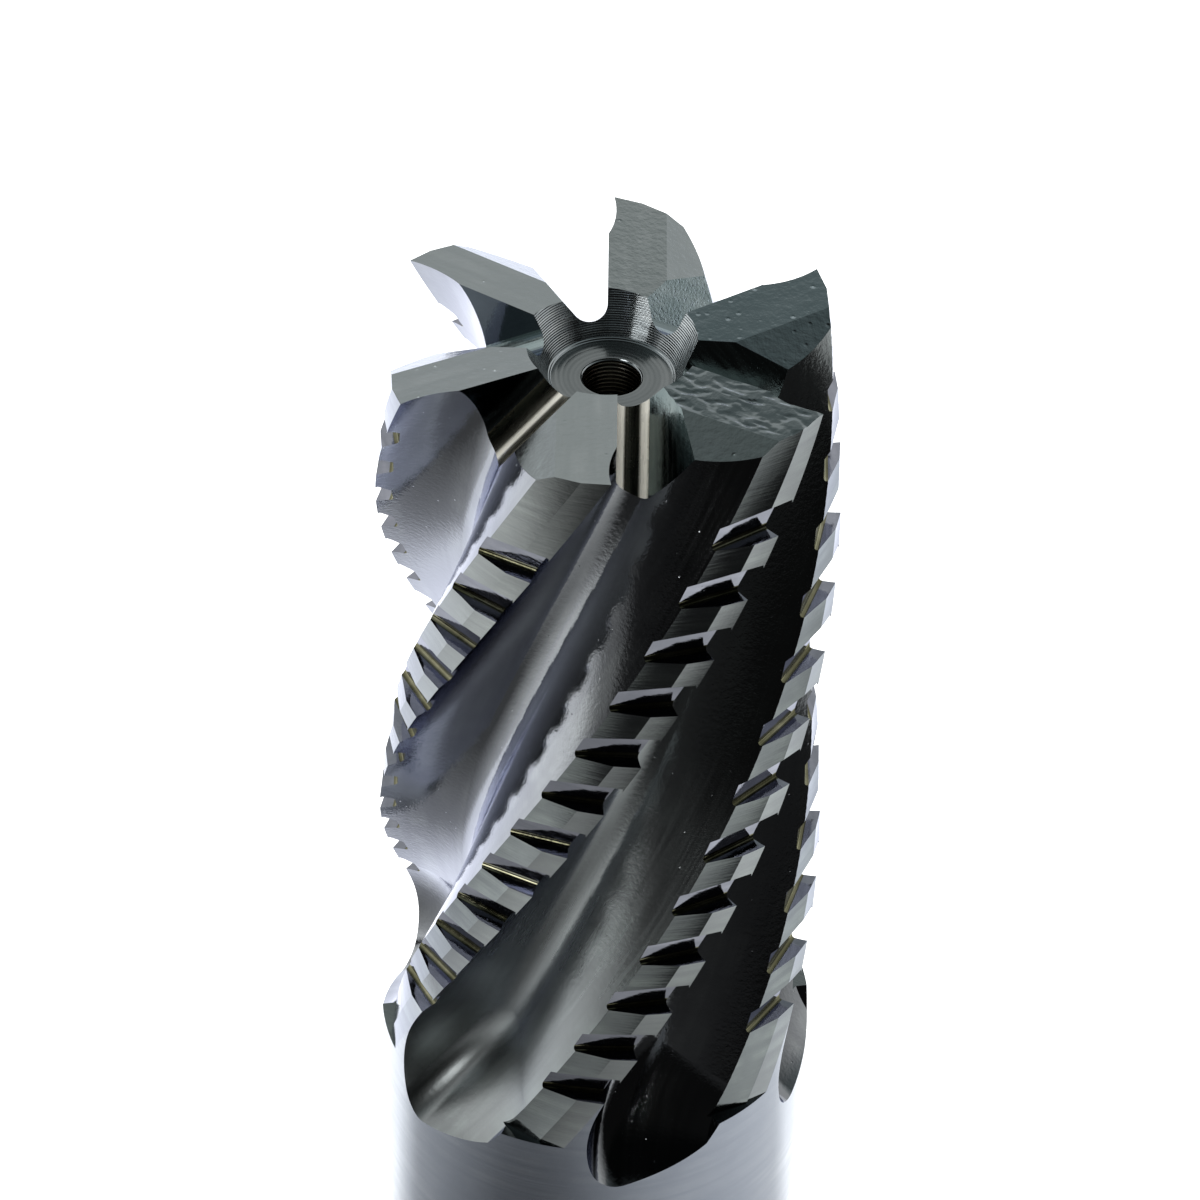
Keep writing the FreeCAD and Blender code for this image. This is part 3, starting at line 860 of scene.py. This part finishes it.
# finish of every surface, first on all teeth and then on the single teeth that differ
lookup = np.zeros((tooth_count, tooth_mark), dtype=np.int32)
every_tooth = slice(None)
flute_surfaces = ["hook", "root", "back", "runout hook", "runout root", "runout back"]
for teeth, kinds, choice in [
    (every_tooth, ["shank", "shank end", "shank bevel"], "ground shank"),
    (every_tooth, ["centre hole", "recess cone", "recess rim"], "turned recess"),
    (every_tooth, ["recess floor"], "faced recess floor"),
    (every_tooth, ["bore"], "drilled bore"),
    (every_tooth, [*flute_surfaces, "blank", "runout blank"], "flute"),
    (every_tooth, ["primary"], "primary land"),
    (every_tooth, ["secondary", "land end"], "secondary land"),
    (every_tooth, ["end primary", "end secondary"], "end face"),
    (every_tooth, ["peeled end"], "peeled end face"),
    (every_tooth, ["gash edge wall", "gash floor", "gash wall"], "gash"),
    (every_tooth, ["groove root", "groove steep", "groove slant"], "chip groove"),
    (every_tooth, ["groove corner"], "groove corner"),
    ([1], ["end primary", "end secondary"], "pitted end face"),
    ([0, 1], ["gash wall"], "sparkling gash"),
    ([2], flute_surfaces, "hazed flute"),
    ([3], ["gash floor"], "gash floor with painted edge highlights"),
    ([4], ["gash floor"], "gash floor with painted middle highlight"),
    ([3], ["end secondary"], "even end face"),
    ([3], ["primary", "secondary"], "hazed land"),
    ([1, 4, 5], ["gash edge wall"], "dark gash"),
]:
    for kind in kinds:
        lookup[teeth, surface(kind)] = slots[choice]
mesh.polygons.foreach_set("material_index", lookup[marks // tooth_mark, marks % tooth_mark])
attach(steel, "root")
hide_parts("end_mill")

# Camera. It stands at the photograph's place and looks down at the cutting end from a little over 300 mm
# away. Its distances are given in cutting radii and its angles in radians.
focal_pixels = 4677.9
image_pixels = 1200
camera_pitch = 0.6993
camera_roll = 0.02525
camera_turn = -0.0082
distance = 19.5202
aim_across = 0.02543
aim_up = 1.10605
look = np.array([0.0, math.cos(camera_pitch), -math.sin(camera_pitch)])
right = np.array([1.0, 0.0, 0.0])
up = np.cross(right, look)
seat = (-aim_across * right - aim_up * up - distance * look) * cutting_radius * mm
camera_data = bpy.data.cameras.new("camera")
camera_data.sensor_width = 36.0
camera_data.lens = focal_pixels / image_pixels * camera_data.sensor_width
camera = bpy.data.objects.new("camera", camera_data)
bpy.context.scene.collection.objects.link(camera)
axes = Matrix([right, up, -look]).transposed().to_4x4()
camera.matrix_world = (
    Matrix.Translation((0, 0, mm * tip_height))
    @ Matrix.Rotation(camera_turn, 4, "Z")
    @ Matrix.Translation(seat)
    @ axes
    @ Matrix.Rotation(camera_roll, 4, "Z")
)
bpy.context.scene.camera = camera

# Table. A matt white sheet of paper lies under the tool. It glows only for the camera and for mirrored
# rays, so that the picture and the steel both show it as pure white.
table_reach = 3.0


def sheet(name, front, rear, height):
    """Flat sheet as wide as the table, with its places in metres."""
    corners = [(-table_reach, front), (table_reach, front), (table_reach, rear), (-table_reach, rear)]
    mesh = bpy.data.meshes.new(name)
    mesh.from_pydata([(*corner, height) for corner in corners], [], [(0, 1, 2, 3)])
    piece = bpy.data.objects.new(name, mesh)
    bpy.context.scene.collection.objects.link(piece)
    return piece


table = sheet("table", -table_reach, table_reach, 0.0)
paper, tree, shader = new_material("white paper")
shader.inputs["Roughness"].default_value = 0.9
place = add(tree, "ShaderNodeTexCoord").outputs["Object"]
paper_tone = mix(tree, clouds(tree, place, 300.0, 3.0), (0.86, 0.87, 0.88, 1), (0.92, 0.92, 0.93, 1))
tree.links.new(paper_tone, shader.inputs["Base Color"])
path = add(tree, "ShaderNodeLightPath").outputs
seen = calculate(tree, "MAXIMUM", path["Is Camera Ray"], path["Is Glossy Ray"])
seen = calculate(tree, "MAXIMUM", seen, path["Is Transmission Ray"])
shader.inputs["Emission Color"].default_value = (1, 1, 1, 1)
tree.links.new(seen, shader.inputs["Emission Strength"])
table.data.materials.append(paper)

# Painted shade. A dark sheet lies on the table, under the tool and in front of it, and only the steel shows
# it:
# it stands in for the tool's own shadow on the table and the dimmer room in front. It is dense at the tool's
# foot, thins out around that and grows dense again further in front and to the sides, which gives the flutes
# their dark and light bands. Places are in metres.
# middle of the painted shadow at the tool's foot
foot_shadow_centre = (-0.03, -0.05, 0.0)
shade_card = sheet("painted_shade_card", -table_reach, 0.15, 0.001)
shade_card.visible_camera = False
shade_card.visible_diffuse = False
shade_card.visible_shadow = False
shade_sheet, tree, shader = new_material("painted shade")
shader.inputs["Roughness"].default_value = 1.0
place = add(tree, "ShaderNodeTexCoord").outputs["Object"]
shade_tone = mix(tree, clouds(tree, place, 40.0), (0.008, 0.008, 0.009, 1), (0.015, 0.015, 0.016, 1))
tree.links.new(shade_tone, shader.inputs["Base Color"])
parts = add(tree, "ShaderNodeSeparateXYZ", {0: place}).outputs
from_foot_shadow = add(tree, "ShaderNodeVectorMath", {0: place, 1: foot_shadow_centre}, operation="DISTANCE")
near = ramp(tree, parts[1], -0.06, -0.25, 1.0, 0.01, interpolation_type="SMOOTHSTEP")
thin = ramp(tree, from_foot_shadow.outputs["Value"], 0.02, 0.16, 0.08, 0.85)
behind = ramp(tree, parts[1], 0.0, 0.035)
at_left = ramp(tree, parts[0], -0.2, -0.5, 0.0, 0.8)
at_right = ramp(tree, parts[0], 0.12, 0.3, 0.0, 0.4)
in_front = ramp(tree, parts[1], 0.10, -0.03)
sides = calculate(tree, "MULTIPLY", calculate(tree, "MAXIMUM", at_left, at_right), in_front)
bare = calculate(tree, "MULTIPLY", near, calculate(tree, "MAXIMUM", thin, behind))
bare = calculate(tree, "MULTIPLY", bare, calculate(tree, "SUBTRACT", 1.0, sides))
tree.links.new(calculate(tree, "SUBTRACT", 1.0, bare), shader.inputs["Alpha"])
shade_card.data.materials.append(shade_sheet)

# Studio. White surroundings reach some 37 degrees up behind the tool and fade above and in front. A wide
# soft panel stands behind it, softer ones to the left and the front left, and one that the steel doesn't
# mirror hangs above the table. The camera sees plain white.
world = bpy.data.worlds.new("studio")
bpy.context.scene.world = world
world.use_nodes = True
tree = world.node_tree
way = add(tree, "ShaderNodeTexCoord").outputs["Generated"]
parts = add(tree, "ShaderNodeSeparateXYZ", {0: way}).outputs
rise = colour_ramp(tree, parts[2], [
    (0.60, (1, 1, 1, 1)),
    (0.74, (0.38, 0.42, 0.43, 1)),
    (0.90, (0.32, 0.36, 0.37, 1)),
    (1.0, (0.18, 0.20, 0.20, 1)),
])
rear = ramp(tree, parts[1], -0.30, 0.12, 0.012, 1.0)
dimmed = add(tree, "ShaderNodeVectorMath", {0: rise, "Scale": rear}, operation="SCALE").outputs[0]
seen = add(tree, "ShaderNodeLightPath").outputs["Is Camera Ray"]
shown = mix(tree, seen, dimmed, (1, 1, 1, 1))
tree.links.new(shown, tree.nodes["Background"].inputs["Color"])


def panel(name, centre, aim, width, height, power):
    """Soft lamp panel, unseen by the camera, that faces a point. Places in metres."""
    lamp_data = bpy.data.lights.new(name, "AREA")
    lamp_data.shape = "RECTANGLE"
    lamp_data.size = width
    lamp_data.size_y = height
    lamp_data.energy = power
    lamp = bpy.data.objects.new(name, lamp_data)
    bpy.context.scene.collection.objects.link(lamp)
    lamp.location = centre
    lamp.rotation_euler = (Vector(aim) - Vector(centre)).to_track_quat("-Z", "Y").to_euler()
    lamp.visible_camera = False
    return lamp


panel("back panel", (0.0, 0.95, 0.22), (0.0, 0.0, 0.12), 1.7, 0.36, 1.2)
panel("left panel", (-0.9, 0.15, 0.30), (0.0, 0.0, 0.12), 0.7, 0.5, 0.8)
panel("front left panel", (-0.64, -0.64, 0.44), (0.0, 0.0, 0.10), 0.4, 0.35, 2.0)
ceiling = panel("ceiling panel", (0.0, 0.2, 1.1), (0.0, 0.0, 0.0), 1.2, 1.2, 9.0)
ceiling.visible_glossy = False
bpy.context.scene.view_settings.view_transform = "Standard"
